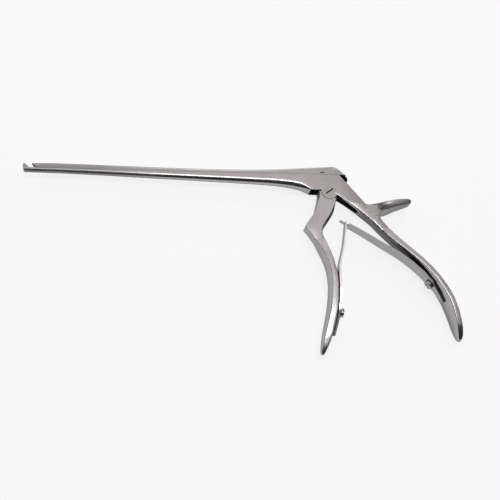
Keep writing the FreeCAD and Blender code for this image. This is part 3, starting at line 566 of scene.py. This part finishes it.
def make_pieces():
    """Makes the steels, dresses every node of the frame and adds the spur."""
    body = steel("satin_steel", painted_shade=body_shade)
    spur = steel("spur_steel", painted_shade=spur_shade)
    slide = steel("slider_steel", painted_shade=jaw_shade)
    handle = steel("handle_steel", rim=HANDLE_RIM_TINT, painted_shade=tongue_shade)
    screw = steel("screw_steel")
    pivot = steel("pivot_steel", painted_shade=slot_shade(PIVOT_SLOT))
    pin = steel("pin_steel", painted_shade=slot_shade(PIN_SLOT))
    spring = steel("spring_steel")
    front_spring = steel("front_spring_steel_painted_light", painted_shade=leaf_shade)
    plain = (
        ("shaft_and_rear_handle", "shaft_head_and_rear_grip", body, "satin_steel", "frame"),
        ("slider", "sliding_shaft", slide, "slider_steel", "slider"),
        ("front_handle", "front_grip_and_neck", handle, "handle_steel", "lever"),
        ("pivot_screw", "slotted_pivot_screw", pivot, "screw_steel", "frame"),
        ("drive_pin", "slotted_drive_pin", pin, "screw_steel", "slider"),
        ("front_spring_screw", "front_leaf_screw", screw, "screw_steel", "lever"),
        ("rear_spring_screw", "rear_leaf_screw", screw, "screw_steel", "frame"),
    )
    for node, name, material, slot, rides_on in plain:
        piece = smooth_copy(node, name)
        if node == "front_handle":
            draw_out_horn(piece)
            crisp_bevel(piece)
        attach(dress(piece, material), rides_on)
    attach(dress(grid_piece("thumb_spur", spur_points()), spur), "frame")
    front = dress(smooth_copy("front_leaf_spring", "front_leaf"), front_spring)
    rear = dress(smooth_copy("rear_leaf_spring", "rear_leaf"), spring)
    for leaf in (front, rear):
        round_edges(leaf)
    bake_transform(front)
    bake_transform(rear)


def pivot_point():
    """The middle of the pivot screw."""
    low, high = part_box("pivot_screw")
    return (low + high) / 2


def turned(vector, degrees):
    """A vector turned about the upright axis."""
    return Matrix.Rotation(math.radians(degrees), 3, "Z") @ Vector(vector)


def make_camera():
    """The camera of the photograph: its place, aim and focal length were fitted to the picture."""
    pivot = pivot_point()
    near_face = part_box("pivot_screw")[1].z
    aside = [share * CAMERA_HEIGHT for share in CAMERA_ASIDE]
    over = turned((*aside, CAMERA_HEIGHT), -CAMERA_TURN_DEG)
    place = Vector((pivot.x, pivot.y, near_face)) + over
    forward = turned((*CAMERA_AIM, -1.0), -CAMERA_TURN_DEG).normalized()
    right = turned((1.0, 0.0, CAMERA_AIM[0]), -CAMERA_TURN_DEG).normalized()
    up = right.cross(forward)
    data = bpy.data.cameras.new("camera")
    data.sensor_fit = "HORIZONTAL"
    data.sensor_width = SENSOR_WIDTH_MM
    data.lens = CAMERA_FOCAL * SENSOR_WIDTH_MM
    data.clip_start = CAMERA_NEAR
    camera = linked("camera", data)
    camera.matrix_world = Matrix((
        (right.x, up.x, -forward.x, place.x),
        (right.y, up.y, -forward.y, place.y),
        (right.z, up.z, -forward.z, place.z),
        (0, 0, 0, 1),
    ))
    bpy.context.scene.camera = camera


def make_floor():
    """A wide white floor that the instrument lies on. It keeps the shadows."""
    size = FLOOR_REACH
    mesh = bpy.data.meshes.new("floor")
    corners = [(-size, -size, 0), (size, -size, 0), (size, size, 0), (-size, size, 0)]
    mesh.from_pydata(corners, [], [(0, 1, 2, 3)])
    floor = linked("floor", mesh)
    material = bpy.data.materials.new("white_floor")
    tree = Tree(material)
    matt = tree.node("ShaderNodeBsdfPrincipled", {}, {"Base Color": WHITE, "Roughness": 1.0})
    glow = tree.node("ShaderNodeEmission", {}, {"Color": WHITE, "Strength": 1.0})
    seen = [tree.node("ShaderNodeLightPath", {}, {}, ray)
            for ray in ("Is Camera Ray", "Is Glossy Ray", "Is Transmission Ray")]
    share = (seen[0] + seen[1] + seen[2]) * FLOOR_GLOW
    surface = tree.node("ShaderNodeMixShader", {}, {0: share, 1: matt, 2: glow})
    tree.node("ShaderNodeOutputMaterial", {}, {"Surface": surface})
    mesh.materials.append(material)


def make_lamp(name, level, height_deg, distance, width, depth, aside):
    """A soft box behind the instrument that faces it. A level of 1 shows it as white."""
    data = bpy.data.lights.new(name, "AREA")
    data.shape = "RECTANGLE"
    data.size = width
    data.size_y = depth
    data.energy = level * math.pi * width * depth
    lamp = linked(name, data)
    height = math.radians(height_deg)
    way = Vector((0, math.cos(height), math.sin(height)))
    place = way * distance + Vector((aside, 0, 0))
    lamp.matrix_world = Matrix.Translation(place) @ way.to_track_quat("Z", "Y").to_matrix().to_4x4()


def make_room():
    """A room that is grey overhead and behind the instrument, and dark low in front of it.

    The brightness is a smooth step of the ray's height over a plane that is tilted about X, and it
    falls to both sides. The camera itself sees the room white.
    """
    world = bpy.data.worlds.new("room")
    bpy.context.scene.world = world
    tree = Tree(world)
    ray = tree.node("ShaderNodeTexCoord", {}, {}, "Generated")
    tilt = math.radians(ROOM_EDGE_DEG)
    over = tree.along(ray, (0, math.cos(tilt), math.sin(tilt)))
    lit = tree.rise(over, -ROOM_EDGE_SOFTNESS, ROOM_EDGE_SOFTNESS)
    bearing = tree.node("ShaderNodeSeparateXYZ", {}, {"Vector": ray}, "X")
    aside = tree.size(bearing - ROOM_MIDDLE)
    lit = lit * (1 - tree.rise(aside, *ROOM_FALL) * ROOM_SIDE_LOSS)
    level = lit * (ROOM_LEVEL - ROOM_DARK_LEVEL) + ROOM_DARK_LEVEL
    seen = tree.node("ShaderNodeLightPath", {}, {}, "Is Camera Ray")
    colour = tree.blend(seen, (*ROOM_COLOUR, 1), WHITE)
    strength = level * (1 - seen) + seen
    shade = tree.node("ShaderNodeBackground", {}, {"Color": colour, "Strength": strength})
    tree.node("ShaderNodeOutputWorld", {}, {"Surface": shade})


make_pieces()
make_camera()
make_floor()
for lamp in LAMPS:
    make_lamp(*lamp)
make_room()
bpy.context.scene.view_settings.view_transform = "Standard"
